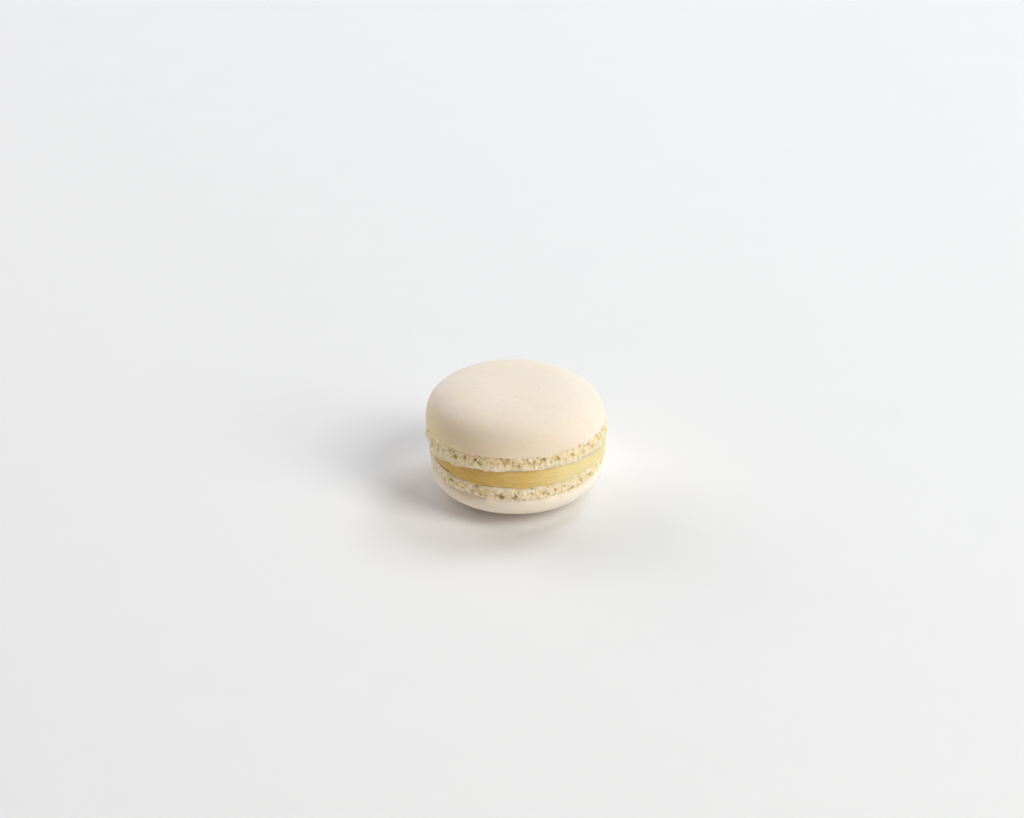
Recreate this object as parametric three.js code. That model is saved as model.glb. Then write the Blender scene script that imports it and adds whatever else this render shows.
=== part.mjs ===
// A French macaron: two domed almond meringue shells, flat faces inward, held together
// by a band of lemon cream. Each shell is a smooth dome standing on a ruffled, pitted foot.
//
// Millimetres, +Z up. The origin is the middle of the footprint, on the surface that the
// lower shell's small flat spot rests on. -Y is the front and +X the right-hand side.

import * as THREE from 'three';
import { mergeVertices } from 'three/addons/utils/BufferGeometryUtils.js';

const { clamp, degToRad, euclideanModulo, lerp, smoothstep } = THREE.MathUtils;

// ---------------------------------------------------------------- driving dimensions

// Each shell is described as it lies on its flat face, dome up.
const UPPER_SHELL = {
  domeRadius: 22.9, // widest ring of the dome
  domeRise: 10.1, // from the widest ring to the apex
  sideFullness: 3.2, // exponents of the dome's curve: 2 is an ellipse, more is boxier
  crownFullness: 2.25,
  apexFlat: 0, // radius of the flat spot at the apex
  undercut: 0.7, // height over which the dome tucks in down to the crease
  creaseRadius: 22.7,
  footRadius: 23.5, // middle of the foot's bulge
  footHeight: 3.6,
  sideDrop: 1.6, // how far the foot's lip hangs past the flat face at the left and right
  outOfRound: 0.2,
  sway: 0.35, // slow rise and fall of the dome's surface
  slip: -0.5, // how far the dome stands to the right of the foot
  lean: -1.1, // how much further to the right its apex stands
  ruffleDepth: 0.45,
  seed: 11,
  upward: 1, // 1 with the dome up, -1 turned over about the X axis
  frontPores: [ // degrees to the right of the front, share of the foot's height, size
    [-71, 0.3, 0.6],
    [-53, 0.62, 0.7],
    [-43, 0.58, 1.1],
    [-35, 0.72, 0.65],
    [-28, 0.7, 0.9],
    [-9, 0.6, 0.75],
    [1, 0.5, 0.75],
    [8, 0.6, 0.65],
    [17, 0.74, 0.85],
    [26, 0.68, 0.95],
    [37, 0.66, 0.8],
    [54, 0.8, 0.85],
    [68, 0.84, 0.7],
  ],
};

const LOWER_SHELL = {
  domeRadius: 22.5,
  domeRise: 7.2,
  sideFullness: 1.9,
  crownFullness: 1.75,
  apexFlat: 7.5,
  undercut: 1.7,
  creaseRadius: 22.0,
  footRadius: 22.8,
  footHeight: 4.0,
  sideDrop: 0.4,
  outOfRound: 0.2,
  sway: 0.25,
  slip: 0,
  lean: -0.9,
  ruffleDepth: 0.45,
  seed: 29,
  upward: -1,
  frontPores: [
    [-56, 0.72, 0.8],
    [-50, 0.42, 0.7],
    [-29, 0.16, 0.7],
    [-26, 0.72, 0.85],
    [-12, 0.72, 1.15],
    [-4, 0.78, 0.8],
    [3, 0.78, 0.65],
    [8, 0.1, 0.6],
    [16, 0.56, 0.75],
    [24, 0.46, 0.7],
    [37, 0.74, 0.85],
    [57, 0.76, 0.85],
  ],
};

const LIP_SETBACK = 0.5; // the foot's edge at the flat face, inside its bulge
const RUFFLE_WIDTH = 3.2; // arc length of one ruffle
const RUFFLE_TIERS = 3; // ruffles stacked up the foot
const PORE_RADIUS = 1.0;
const PORE_DEPTH = 0.8; // of a pore of size 1
const PORE_HEIGHT = 0.7; // share of the foot's height at which pores open away from the front
const PORE_SCATTER = 0.2; // rise and fall of those pores about that share
const PORE_SPACING = 5.5; // arc length between them

// The cream is a wedge: the upper shell sits on it tipped back. Both flat faces also rise
// a little to the right, where the upper shell is thinner and the lower one thicker.
const TIP_BACK = degToRad(4);
const RISE_TO_RIGHT = degToRad(2);
const UPPER_SHIFT = -0.4; // the upper shell sits a little to the left
const FILLING_RADIUS = 21.8; // where its side meets the shells
const FILLING_BULGE = 0.5; // how far the middle of its side stands out
const FILLING_SPREAD = 0.2; // squeezed out at front and back, held back left and right
const FILLING_WAVE = 0.15; // slow in and out of its side
const FILLING_HEIGHT = 3.6; // between the flat faces, on the axis

const TURNED_GAP = 0.3; // clearance under the tipped shell
const LEVEL_GAP = 0.1; // clearance over the level one

// Fineness of the surfaces.
const SHELL_STEPS = 120;
const FILLING_STEPS = 96;
const FOOT_ROWS = 7;
const DOME_ROWS = 10;
const FILLING_ROWS = 6;

const ALMOND_MERINGUE = { color: 0xeaddc6, roughness: 0.85, metalness: 0 };
const LEMON_CREAM = { color: 0xdcc47c, roughness: 0.5, metalness: 0 };

// ---------------------------------------------------------------- repeatable unevenness

/** A function that returns the same run of numbers from 0 to 1 for a seed. */
function seededRandom(seed) {
  let state = seed;
  return () => {
    state = (state + 0x6d2b79f5) | 0;
    let mixed = Math.imul(state ^ (state >>> 15), 1 | state);
    mixed = (mixed + Math.imul(mixed ^ (mixed >>> 7), 61 | mixed)) ^ mixed;
    return ((mixed ^ (mixed >>> 14)) >>> 0) / 2 ** 32;
  };
}

/** Bumps from -1 to 1 on a band that closes round: a random value a cell, smoothed. */
function bumpyBand(cellsRound, tiers, random) {
  const values = Array.from({ length: cellsRound * (tiers + 1) }, () => random() * 2 - 1);
  const cell = (i, j) => values[j * cellsRound + (i % cellsRound)];
  return (angle, up) => {
    const u = euclideanModulo(angle / (2 * Math.PI), 1) * cellsRound;
    const v = clamp(up, 0, 1) * tiers;
    const i = Math.floor(u);
    const j = Math.min(Math.floor(v), tiers - 1);
    const across = smoothstep(u - i, 0, 1);
    const lower = lerp(cell(i, j), cell(i + 1, j), across);
    const upper = lerp(cell(i, j + 1), cell(i + 1, j + 1), across);
    return lerp(lower, upper, smoothstep(v - j, 0, 1));
  };
}

/** A slow wave round the axis, of two and three lobes, from -1 to 1. */
function slowWave(random) {
  const second = random() * 2 * Math.PI;
  const third = random() * 2 * Math.PI;
  return (angle) => 0.6 * Math.cos(2 * angle + second) + 0.4 * Math.cos(3 * angle + third);
}

// ---------------------------------------------------------------- turned surfaces

/** Turns a profile of radius and height round +Z into one closed skin. */
function turned(profile, stepsRound) {
  const lathe = new THREE.LatheGeometry(profile, stepsRound);
  lathe.rotateX(Math.PI / 2);
  lathe.deleteAttribute('normal');
  lathe.deleteAttribute('uv');
  return mergeVertices(lathe, 1e-4);
}

/** Moves every vertex by a rule: radius, angle and height in, new radius, height and shift out. */
function reshape(geometry, rule) {
  const position = geometry.getAttribute('position');
  for (let i = 0; i < position.count; i += 1) {
    const x = position.getX(i);
    const y = position.getY(i);
    const angle = Math.atan2(y, x);
    const { radius, height, shift = 0 } = rule(Math.hypot(x, y), angle, position.getZ(i));
    position.setXYZ(i, radius * Math.cos(angle) + shift, radius * Math.sin(angle), height);
  }
  geometry.computeVertexNormals();
  return geometry;
}

// ---------------------------------------------------------------- shells

const widestHeight = (shell) => shell.footHeight + shell.undercut;
const shellHeight = (shell) => widestHeight(shell) + shell.domeRise;
const seatRadius = (shell) => shell.footRadius - 2 * LIP_SETBACK;

/** The foot's side, bulging between its lower lip and the crease under the dome. */
function footProfile(shell) {
  const lipRadius = shell.footRadius - LIP_SETBACK;
  const bulge = shell.footRadius - (lipRadius + shell.creaseRadius) / 2;
  return Array.from({ length: FOOT_ROWS + 1 }, (_, row) => {
    const up = row / FOOT_ROWS;
    const radius = lerp(lipRadius, shell.creaseRadius, up) + bulge * 4 * up * (1 - up);
    return new THREE.Vector2(radius, shell.footHeight * up);
  });
}

/** The dome, from its widest ring over to the edge of the apex. */
function domeProfile(shell) {
  return Array.from({ length: DOME_ROWS }, (_, row) => {
    const sweep = (row / DOME_ROWS) * (Math.PI / 2);
    const out = Math.cos(sweep) ** (2 / shell.sideFullness);
    const up = Math.sin(sweep) ** (2 / shell.crownFullness);
    const radius = lerp(shell.apexFlat, shell.domeRadius, out);
    return new THREE.Vector2(radius, widestHeight(shell) + shell.domeRise * up);
  });
}

/** Half a section through a shell: flat face, foot, tuck under the dome, dome and apex. */
function shellProfile(shell) {
  const top = shellHeight(shell);
  const apex = [new THREE.Vector2(0, top)];
  if (shell.apexFlat > 0) apex.unshift(new THREE.Vector2(shell.apexFlat, top));
  const shoulder = new THREE.Vector2(
    lerp(shell.creaseRadius, shell.domeRadius, 0.7),
    shell.footHeight + 0.35 * shell.undercut,
  );
  return [
    new THREE.Vector2(0, 0),
    new THREE.Vector2(seatRadius(shell), 0),
    ...footProfile(shell),
    shoulder,
    ...domeProfile(shell),
    ...apex,
  ];
}

/** The pores round the foot: those named at the front, then an uneven run behind. */
function pores(shell, random) {
  const named = shell.frontPores.map(([degrees, share, size]) => [degToRad(degrees), share, size]);
  const step = PORE_SPACING / shell.footRadius;
  const start = named[named.length - 1][0] + step;
  const end = named[0][0] + 2 * Math.PI - step / 2;
  for (let angle = start; angle < end; angle += step) {
    const turn = angle + (random() - 0.5) * step;
    const share = PORE_HEIGHT + (random() - 0.5) * PORE_SCATTER;
    named.push([turn, share, 0.6 + 0.6 * random()]);
  }
  return named.map(([angle, share, size]) => ({
    angle: shell.upward * (angle - Math.PI / 2),
    height: shell.footHeight * share,
    depth: PORE_DEPTH * size,
  }));
}

/** How far the pores sink the foot's side at a place on it. */
function poreDepth(holes, angle, radius, height) {
  const sunk = holes.map((hole) => {
    const turn = euclideanModulo(angle - hole.angle + Math.PI, 2 * Math.PI) - Math.PI;
    const away = Math.hypot(turn * radius, height - hole.height) / PORE_RADIUS;
    return hole.depth * Math.exp(-away * away);
  });
  return Math.max(...sunk);
}

/** A shell on its flat face, with its foot ruffled and pitted and its form a little uneven. */
function shellGeometry(shell) {
  const random = seededRandom(shell.seed);
  const ruffles = Math.round((2 * Math.PI * shell.footRadius) / RUFFLE_WIDTH);
  const ruffle = bumpyBand(ruffles, RUFFLE_TIERS, random);
  const roundness = slowWave(random);
  const sway = slowWave(random);
  const holes = pores(shell, random);
  const seat = seatRadius(shell);
  return reshape(turned(shellProfile(shell), SHELL_STEPS), (radius, angle, height) => {
    const onRim = smoothstep(radius, seat, shell.footRadius - LIP_SETBACK);
    const belowDome = 1 - smoothstep(height, shell.footHeight, widestHeight(shell));
    const relief = shell.ruffleDepth * ruffle(angle, height / shell.footHeight);
    const sunk = poreDepth(holes, angle, radius, height);
    const outward = shell.outOfRound * roundness(angle) * (radius / shell.domeRadius);
    const onDome = smoothstep(height, shell.footHeight, shellHeight(shell));
    const offApex = smoothstep(radius, shell.apexFlat, shell.domeRadius);
    const uneven = shell.sway * sway(angle) * onDome * offApex;
    const outer = radius + outward + onRim * belowDome * (relief - sunk);
    const faceRise = shell.upward * outer * Math.cos(angle) * Math.tan(RISE_TO_RIGHT);
    const towardFace = onRim * Math.max(1 - height / shell.footHeight, 0);
    const hang = shell.sideDrop * Math.cos(angle) ** 2 * towardFace;
    return {
      radius: outer,
      height: height + uneven - hang + faceRise * (1 - height / shellHeight(shell)),
      shift: shell.slip * (1 - belowDome) + shell.lean * onDome,
    };
  });
}

// ---------------------------------------------------------------- filling

/** The cream between the flat face below and the tipped face above. */
function fillingGeometry() {
  const random = seededRandom(5);
  const wave = slowWave(random);
  const side = Array.from({ length: FILLING_ROWS + 1 }, (_, row) => {
    const up = row / FILLING_ROWS;
    const fromMiddle = 2 * up - 1;
    return new THREE.Vector2(FILLING_RADIUS + FILLING_BULGE * (1 - fromMiddle ** 2), up);
  });
  const profile = [new THREE.Vector2(0, 0), ...side, new THREE.Vector2(0, 1)];
  return reshape(turned(profile, FILLING_STEPS), (radius, angle, up) => {
    const outward = FILLING_WAVE * wave(angle) - FILLING_SPREAD * Math.cos(2 * angle);
    const outer = radius + outward * (radius / FILLING_RADIUS);
    const lowerFace = outer * Math.cos(angle) * Math.tan(RISE_TO_RIGHT);
    const upperFace = lowerFace + FILLING_HEIGHT - outer * Math.sin(angle) * Math.tan(TIP_BACK);
    return { radius: outer, height: lerp(lowerFace + LEVEL_GAP, upperFace - TURNED_GAP, up) };
  });
}

// ---------------------------------------------------------------- assembly

/** A named mesh in its own finish. */
function piece(name, geometry, finish) {
  const mesh = new THREE.Mesh(geometry, new THREE.MeshStandardMaterial(finish));
  mesh.name = name;
  return mesh;
}

const lower = piece('bottom_shell', shellGeometry(LOWER_SHELL), ALMOND_MERINGUE);
lower.rotation.x = Math.PI;
lower.position.z = shellHeight(LOWER_SHELL);

const filling = piece('filling', fillingGeometry(), LEMON_CREAM);
filling.position.z = shellHeight(LOWER_SHELL);

const upper = piece('top_shell', shellGeometry(UPPER_SHELL), ALMOND_MERINGUE);
const tipped = new THREE.Group();
tipped.position.set(UPPER_SHIFT, 0, shellHeight(LOWER_SHELL) + FILLING_HEIGHT);
tipped.rotation.x = -TIP_BACK;
tipped.add(upper);

const macaron = new THREE.Group();
macaron.add(lower, filling, tipped);

const extent = new THREE.Box3().setFromObject(macaron, true);
const middle = extent.getCenter(new THREE.Vector3());
macaron.position.set(-middle.x, -middle.y, -extent.min.z);

export default macaron;
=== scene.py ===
"""A French macaron: two domed almond meringue shells with a wedge of lemon cream between them.

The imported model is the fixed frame. Each of its three plain solids is replaced by a finely
modelled piece of the same form: the shells get foamy, pitted feet and an eggshell-fine skin,
and the cream gets soft pressed edges. Sizes are in millimetres, unless a docstring says metres,
and become metres where a mesh, light or camera is made. -Y is the front, +X the right-hand
side and +Z up.
"""

import logging
import math
from collections.abc import Callable
from dataclasses import dataclass, field
from enum import Enum, IntEnum

import bpy
import numpy as np
from mathutils import Matrix, Vector
from mathutils.kdtree import KDTree


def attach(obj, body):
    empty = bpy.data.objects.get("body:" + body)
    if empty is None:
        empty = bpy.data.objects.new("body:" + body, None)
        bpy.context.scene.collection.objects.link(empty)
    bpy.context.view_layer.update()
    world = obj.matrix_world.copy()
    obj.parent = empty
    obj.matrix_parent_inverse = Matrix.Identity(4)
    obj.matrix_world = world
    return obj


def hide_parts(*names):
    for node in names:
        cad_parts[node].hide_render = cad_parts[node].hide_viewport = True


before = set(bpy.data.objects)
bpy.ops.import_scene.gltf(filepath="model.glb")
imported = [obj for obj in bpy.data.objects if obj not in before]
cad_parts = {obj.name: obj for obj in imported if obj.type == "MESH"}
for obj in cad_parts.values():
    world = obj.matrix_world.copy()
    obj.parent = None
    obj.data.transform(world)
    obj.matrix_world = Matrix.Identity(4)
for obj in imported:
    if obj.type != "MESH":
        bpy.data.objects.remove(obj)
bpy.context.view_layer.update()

MM = 0.001
RISE_TO_RIGHT = math.radians(2)
TIP_BACK = math.radians(4)
COLOUR_MIX = {"data_type": "RGBA"}
FIRST, SECOND, MIXED = 6, 7, 2  # a colour mix's two inputs and its output, by number
log = logging.getLogger("macaron")

Wave = Callable[[np.ndarray], np.ndarray]
Band = Callable[[np.ndarray, np.ndarray], np.ndarray]


# ---------------------------------------------------------------- small helpers


def linear(hex_colour: str) -> tuple[float, float, float, float]:
    """Turn an sRGB hex colour into linear RGBA.

    Args:
        hex_colour: six hex digits, without a leading sign.

    Returns:
        Red, green and blue as linear light, and an alpha of 1.
    """
    parts = (int(hex_colour[i:i + 2], 16) / 255 for i in (0, 2, 4))
    red, green, blue = (c / 12.92 if c <= 0.04045 else ((c + 0.055) / 1.055) ** 2.4 for c in parts)
    return red, green, blue, 1.0


def per_metre(size_mm: float) -> float:
    """The texture scale at which one feature of a pattern is this many millimetres wide."""
    return 1 / (size_mm * MM)


def smoothstep(value: np.ndarray, low: float, high: float) -> np.ndarray:
    """Ease values from 0 at low to 1 at high."""
    share = np.clip((value - low) / (high - low), 0, 1)
    return share * share * (3 - 2 * share)


def lerp(start: float, end: float, share: np.ndarray | float) -> np.ndarray | float:
    """The value that lies a share of the way from start to end."""
    return start + (end - start) * share


def add_node(tree: bpy.types.NodeTree, kind: str, settings: dict[str, object] | None = None,
             inputs: dict[str | int, object] | None = None) -> bpy.types.Node:
    """Add a shader node.

    Args:
        tree: the node tree it goes into.
        kind: Blender's name for the node type.
        settings: the node's own properties, by name.
        inputs: its inputs by name or number, each a value to set or a socket to link from.

    Returns:
        The new node.
    """
    node = tree.nodes.new(kind)
    for name, value in (settings or {}).items():
        setattr(node, name, value)
    for name, value in (inputs or {}).items():
        if isinstance(value, bpy.types.NodeSocket):
            tree.links.new(value, node.inputs[name])
        else:
            node.inputs[name].default_value = value
    return node


def start_material(name: str) -> tuple[bpy.types.Material, bpy.types.NodeSocket]:
    """Start a material with an empty node tree.

    Args:
        name: the material's name.

    Returns:
        The material, and the socket that gives each place on the object in metres.
    """
    made = bpy.data.materials.new(name)
    made.use_nodes = True
    made.node_tree.nodes.clear()
    return made, add_node(made.node_tree, "ShaderNodeTexCoord").outputs["Object"]


# ---------------------------------------------------------------- repeatable unevenness


class SeededDraws:
    """The run of numbers from 0 to 1 that the solids were made with, for a seed."""

    MASK = 0xFFFFFFFF
    STEP = 0x6D2B79F5
    STIR = 61

    def __init__(self, seed: int) -> None:
        """Start the run at its seed."""
        self.state = seed

    def __call__(self) -> float:
        """Draw the next number.

        Returns:
            A number from 0 to 1.
        """
        self.state = (self.state + self.STEP) & self.MASK
        mixed = ((self.state ^ (self.state >> 15)) * (1 | self.state)) & self.MASK
        stirred = ((mixed ^ (mixed >> 7)) * (self.STIR | mixed)) & self.MASK
        mixed = ((mixed + stirred) & self.MASK) ^ mixed
        return (mixed ^ (mixed >> 14)) / 2**32


def slow_wave(draw: SeededDraws) -> Wave:
    """Make a slow wave round the axis, of two and three lobes, from -1 to 1.

    Args:
        draw: gives the two phases.

    Returns:
        A function of the angle.
    """
    two_lobed, three_lobed = 0.6, 0.4
    second = draw() * 2 * math.pi
    third = draw() * 2 * math.pi
    return lambda angle: (two_lobed * np.cos(2 * angle + second)
                          + three_lobed * np.cos(3 * angle + third))


def bumpy_band(cells_round: int, tiers: int, draw: SeededDraws) -> Band:
    """Make bumps from -1 to 1 on a band that closes round: a value a cell, smoothed.

    Args:
        cells_round: how many bumps go round.
        tiers: how many are stacked up the band.
        draw: gives each cell its value.

    Returns:
        A function of the angle and of the share of the way up the band.
    """
    values = np.array([draw() * 2 - 1 for _ in range(cells_round * (tiers + 1))])
    values = values.reshape(tiers + 1, cells_round)

    def bumps(angle: np.ndarray, up: np.ndarray) -> np.ndarray:
        """Find the height of the bumps.

        Args:
            angle: how far round each place on the band is.
            up: its share of the way up the band.

        Returns:
            The height at each place, from -1 to 1.
        """
        u = np.mod(angle / (2 * math.pi), 1) * cells_round
        v = np.clip(up, 0, 1) * tiers
        i = np.floor(u).astype(int) % cells_round
        j = np.minimum(np.floor(v).astype(int), tiers - 1)
        across = smoothstep(u - np.floor(u), 0, 1)
        lower = lerp(values[j, i], values[j, (i + 1) % cells_round], across)
        upper = lerp(values[j + 1, i], values[j + 1, (i + 1) % cells_round], across)
        return lerp(lower, upper, smoothstep(v - j, 0, 1))

    return bumps


@dataclass(frozen=True)
class SoftNoise:
    """Smooth random swell in space, from -1 to 1, with one lump about a cell wide."""

    cell: float
    seed: int
    table_size: int = 64

    def __call__(self, points: np.ndarray) -> np.ndarray:
        """Sample the noise.

        Args:
            points: an array of points in millimetres, one a row.

        Returns:
            One value a point.
        """
        size = self.table_size
        table = np.random.default_rng(self.seed).uniform(-1, 1, (size, size, size))
        places = points / self.cell
        base = np.floor(places).astype(int)
        share = smoothstep(places - base, 0, 1)
        total = np.zeros(len(points))
        for corner in np.ndindex(2, 2, 2):
            weight = np.prod(np.where(corner, share, 1 - share), axis=1)
            i, j, k = np.mod(base + corner, size).T
            total += weight * table[i, j, k]
        return total


class Pattern(IntEnum):
    """What is added to a shell's or its foam's seed, so that each pattern has a seed of its own."""

    WANDER_ROUND = 1
    WANDER_UP = 2
    TEARS = 3
    FINE_TEARS = 4
    ROUGHNESS = 5
    SWELLS = 10
    DIMPLES = 11
    FRILL = 12
    SKIN_EDGE = 13
    SKIN_PITS = 20


# ---------------------------------------------------------------- turned skins


@dataclass(frozen=True)
class Ring:
    """One ring of points round the axis. A ring of one column is a pole on the axis."""

    radius: float
    height: float
    columns: int


@dataclass
class TurnedSkin:
    """A closed skin of rings, from the pole under it, out and up its side, to the pole on top.

    Each ring has as many columns as the one before it, or twice or half as many.
    """

    rings: list[Ring]
    starts: list[int] = field(init=False)
    radius: np.ndarray = field(init=False)
    angle: np.ndarray = field(init=False)
    height: np.ndarray = field(init=False)

    def __post_init__(self) -> None:
        """Lay every ring's points out in flat arrays."""
        counts = [ring.columns for ring in self.rings]
        self.starts = [0, *np.cumsum(counts).tolist()]
        self.radius = np.repeat([ring.radius for ring in self.rings], counts)
        self.height = np.repeat([ring.height for ring in self.rings], counts)
        self.angle = np.concatenate([np.arange(n) * 2 * math.pi / n for n in counts])

    def rows(self, first: int, last: int) -> slice:
        """The points of the rings from first to last, both included."""
        return slice(self.starts[first], self.starts[last + 1])

    def points(self) -> np.ndarray:
        """Every point as x, y and z in millimetres, one a row."""
        across, back = self.radius * np.cos(self.angle), self.radius * np.sin(self.angle)
        return np.stack([across, back, self.height], 1)

    def faces(self) -> list[list[int]]:
        """Join each ring to the next, with the faces' outer sides away from the axis.

        Returns:
            The points of each face, by number.
        """
        made: list[list[int]] = []
        for k in range(len(self.rings) - 1):
            low, high = self.rings[k].columns, self.rings[k + 1].columns
            a, b = self.starts[k], self.starts[k + 1]
            few, many = np.arange(min(low, high)), np.arange(max(low, high))
            after, right = (few + 1) % len(few), (2 * few + 2) % len(many)
            if low == high:
                corners = [(a + few, a + after, b + after, b + few)]
            elif low == 1:
                corners = [(0 * many + a, b + (many + 1) % high, b + many)]
            elif high == 1:
                corners = [(a + many, a + (many + 1) % low, 0 * many + b)]
            elif low > high:
                corners = [(a + 2 * few, a + 2 * few + 1, b + few),
                           (a + 2 * few + 1, b + after, b + few),
                           (a + 2 * few + 1, a + right, b + after)]
            else:
                corners = [(a + few, b + 2 * few + 1, b + 2 * few),
                           (a + few, a + after, b + 2 * few + 1),
                           (a + after, b + right, b + 2 * few + 1)]
            for columns in corners:
                made += np.stack(columns, 1).tolist()
        return made


def make_piece(name: str, points: np.ndarray, faces: list[list[int]], place: Matrix,
               masks: dict[str, np.ndarray]) -> bpy.types.Object:
    """Make a smooth-shaded mesh object.

    Args:
        name: the object's name.
        points: its points in millimetres, one a row.
        faces: the points of each face, by number.
        place: moves and turns the points into the frame, in millimetres.
        masks: shares from 0 to 1 for each point, by name, that the finish reads.

    Returns:
        The object, which sits at the frame's origin.
    """
    matrix = np.array(place)
    placed = (points @ matrix[:3, :3].T + matrix[:3, 3]) * MM
    mesh = bpy.data.meshes.new(name)
    mesh.from_pydata(placed.tolist(), [], faces)
    for mask, shares in masks.items():
        attribute = mesh.attributes.new(mask, "FLOAT", "POINT")
        attribute.data.foreach_set("value", shares.astype(np.float32))
    mesh.shade_smooth()
    piece = bpy.data.objects.new(name, mesh)
    bpy.context.scene.collection.objects.link(piece)
    return piece


# ---------------------------------------------------------------- finishes


class Mask(Enum):
    """The shares that each point of a piece carries for its finish."""

    FOOT = "foot"
    # Painted shade in the pores.
    PORE_SHADE = "pore"
    # A baked tone with painted shade, low on the dome and on its shaded side.
    BAKED_SHADE = "baked"
    # Painted shade in the crumb's valleys.
    VALLEY_SHADE = "valley_shade"
    # Curd clouds in the cream, with painted shade towards its left.
    RICHNESS_AND_SHADE = "richness_and_shade"


@dataclass(frozen=True)
class AlmondMeringue:
    """Baked almond meringue, piped, dried to a skin and baked until its foot rises.

    The skin is matt and eggshell-fine, cream white with faint freckles of ground almond, and lets
    light in, red light furthest, which warms its shaded side. Low down, and most on the side that
    faced the oven's hot air, it is a shade more baked; as that side is the shaded left, the deeper,
    warmer colour there is painted shade as well.
    The foot is open crumb with no skin, so it is rougher. Its colour is painted darker in the
    valleys between its lumps and darkest in its pores: painted shade, standing in for the light
    that bounces about in them.
    """

    name: str
    skin: str = "F4E9DA"
    skin_warm: str = "F3E5D1"
    # Baked tone with painted shade, laid low on the dome and most on its shaded side.
    skin_baked_shade: str = "E8D5A6"
    crumb: str = "F7EAD0"
    # Painted shade: the crumb's valleys get a deeper colour, and its pores a darker one still.
    crumb_valley_shade: str = "F0DDB0"
    pore: str = "D6C27E"
    roughness: float = 0.72
    ior: float = 1.45
    specular: float = 0.3
    translucency: float = 0.45
    light_reach: float = 2.4
    reach_by_colour: tuple[float, float, float] = (1.0, 0.62, 0.34)
    blotch_size: float = 9.0
    blotch_range: tuple[float, float] = (0.3, 0.7)
    freckle: str = "DFC8A2"
    freckle_size: float = 0.9
    freckle_range: tuple[float, float] = (0.62, 0.74)
    freckle_share: float = 0.3
    # The skin's real grain is about 0.1 mm wide and the crumb's finest bubbles are smaller still.
    # Both are too fine to show, so they are drawn about three times as coarse.
    grain_size: float = 0.35
    grain_height: float = 0.026
    crumb_size: float = 0.3
    crumb_height: float = 0.05

    def colour(self, tree: bpy.types.NodeTree,
               where: bpy.types.NodeSocket) -> bpy.types.NodeSocket:
        """Lay the skin's patches and freckles, its baked tone with painted shade, the crumb, and
        the painted shade of the crumb's valleys and pores over each other.

        Args:
            tree: the material's node tree.
            where: gives each place on the object.

        Returns:
            The socket that gives the colour.
        """
        blotches = add_node(tree, "ShaderNodeTexNoise", inputs={
            "Vector": where, "Scale": per_metre(self.blotch_size), "Detail": 3.0,
            "Roughness": 0.55})
        patches = add_node(tree, "ShaderNodeMapRange", inputs={
            "Value": blotches.outputs["Fac"], "From Min": self.blotch_range[0],
            "From Max": self.blotch_range[1]})
        colour = add_node(tree, "ShaderNodeMix", COLOUR_MIX, {
            "Factor": patches.outputs["Result"], FIRST: linear(self.skin),
            SECOND: linear(self.skin_warm)})
        specks = add_node(tree, "ShaderNodeTexNoise", inputs={
            "Vector": where, "Scale": per_metre(self.freckle_size), "Detail": 2.0})
        freckles = add_node(tree, "ShaderNodeMapRange", inputs={
            "Value": specks.outputs["Fac"], "From Min": self.freckle_range[0],
            "From Max": self.freckle_range[1], "To Max": self.freckle_share})
        colour = add_node(tree, "ShaderNodeMix", COLOUR_MIX, {
            "Factor": freckles.outputs["Result"], FIRST: colour.outputs[MIXED],
            SECOND: linear(self.freckle)})
        # Painted shade in the crumb's valleys.
        valley_shade = add_node(tree, "ShaderNodeAttribute", {"attribute_name": Mask.VALLEY_SHADE.value})
        crumb = add_node(tree, "ShaderNodeMix", COLOUR_MIX, {
            "Factor": valley_shade.outputs["Fac"], FIRST: linear(self.crumb),
            SECOND: linear(self.crumb_valley_shade)})
        # Over the skin go the baked tone with painted shade, the crumb with its painted valley
        # shade, and the painted pore shade.
        layers = ((Mask.BAKED_SHADE, linear(self.skin_baked_shade)), (Mask.FOOT, crumb.outputs[MIXED]),
                  (Mask.PORE_SHADE, linear(self.pore)))
        for mask, over in layers:
            share = add_node(tree, "ShaderNodeAttribute", {"attribute_name": mask.value})
            colour = add_node(tree, "ShaderNodeMix", COLOUR_MIX, {
                "Factor": share.outputs["Fac"], FIRST: colour.outputs[MIXED], SECOND: over})
        return colour.outputs[MIXED]

    def material(self) -> bpy.types.Material:
        """Build the node material, with the crumb's roughness only on the foot.

        Returns:
            The material.
        """
        made, where = start_material(self.name)
        tree = made.node_tree
        foot = add_node(tree, "ShaderNodeAttribute", {"attribute_name": Mask.FOOT.value})
        grain = add_node(tree, "ShaderNodeTexNoise", inputs={
            "Vector": where, "Scale": per_metre(self.grain_size), "Detail": 4.0, "Roughness": 0.6})
        grain_bump = add_node(tree, "ShaderNodeBump", inputs={
            "Strength": 1.0, "Distance": self.grain_height * MM, "Height": grain.outputs["Fac"]})
        crumb = add_node(tree, "ShaderNodeTexNoise", inputs={
            "Vector": where, "Scale": per_metre(self.crumb_size), "Detail": 5.0,
            "Roughness": 0.65})
        crumb_height = add_node(tree, "ShaderNodeMath", {"operation": "MULTIPLY"}, {
            0: crumb.outputs["Fac"], 1: foot.outputs["Fac"]})
        crumb_bump = add_node(tree, "ShaderNodeBump", inputs={
            "Strength": 1.0, "Distance": self.crumb_height * MM,
            "Height": crumb_height.outputs["Value"], "Normal": grain_bump.outputs["Normal"]})
        shader = add_node(tree, "ShaderNodeBsdfPrincipled", inputs={
            "Base Color": self.colour(tree, where), "Roughness": self.roughness, "IOR": self.ior,
            "Specular IOR Level": self.specular, "Subsurface Weight": self.translucency,
            "Subsurface Radius": self.reach_by_colour, "Subsurface Scale": self.light_reach * MM,
            "Normal": crumb_bump.outputs["Normal"]})
        add_node(tree, "ShaderNodeOutputMaterial", inputs={"Surface": shader.outputs["BSDF"]})
        return made


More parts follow.
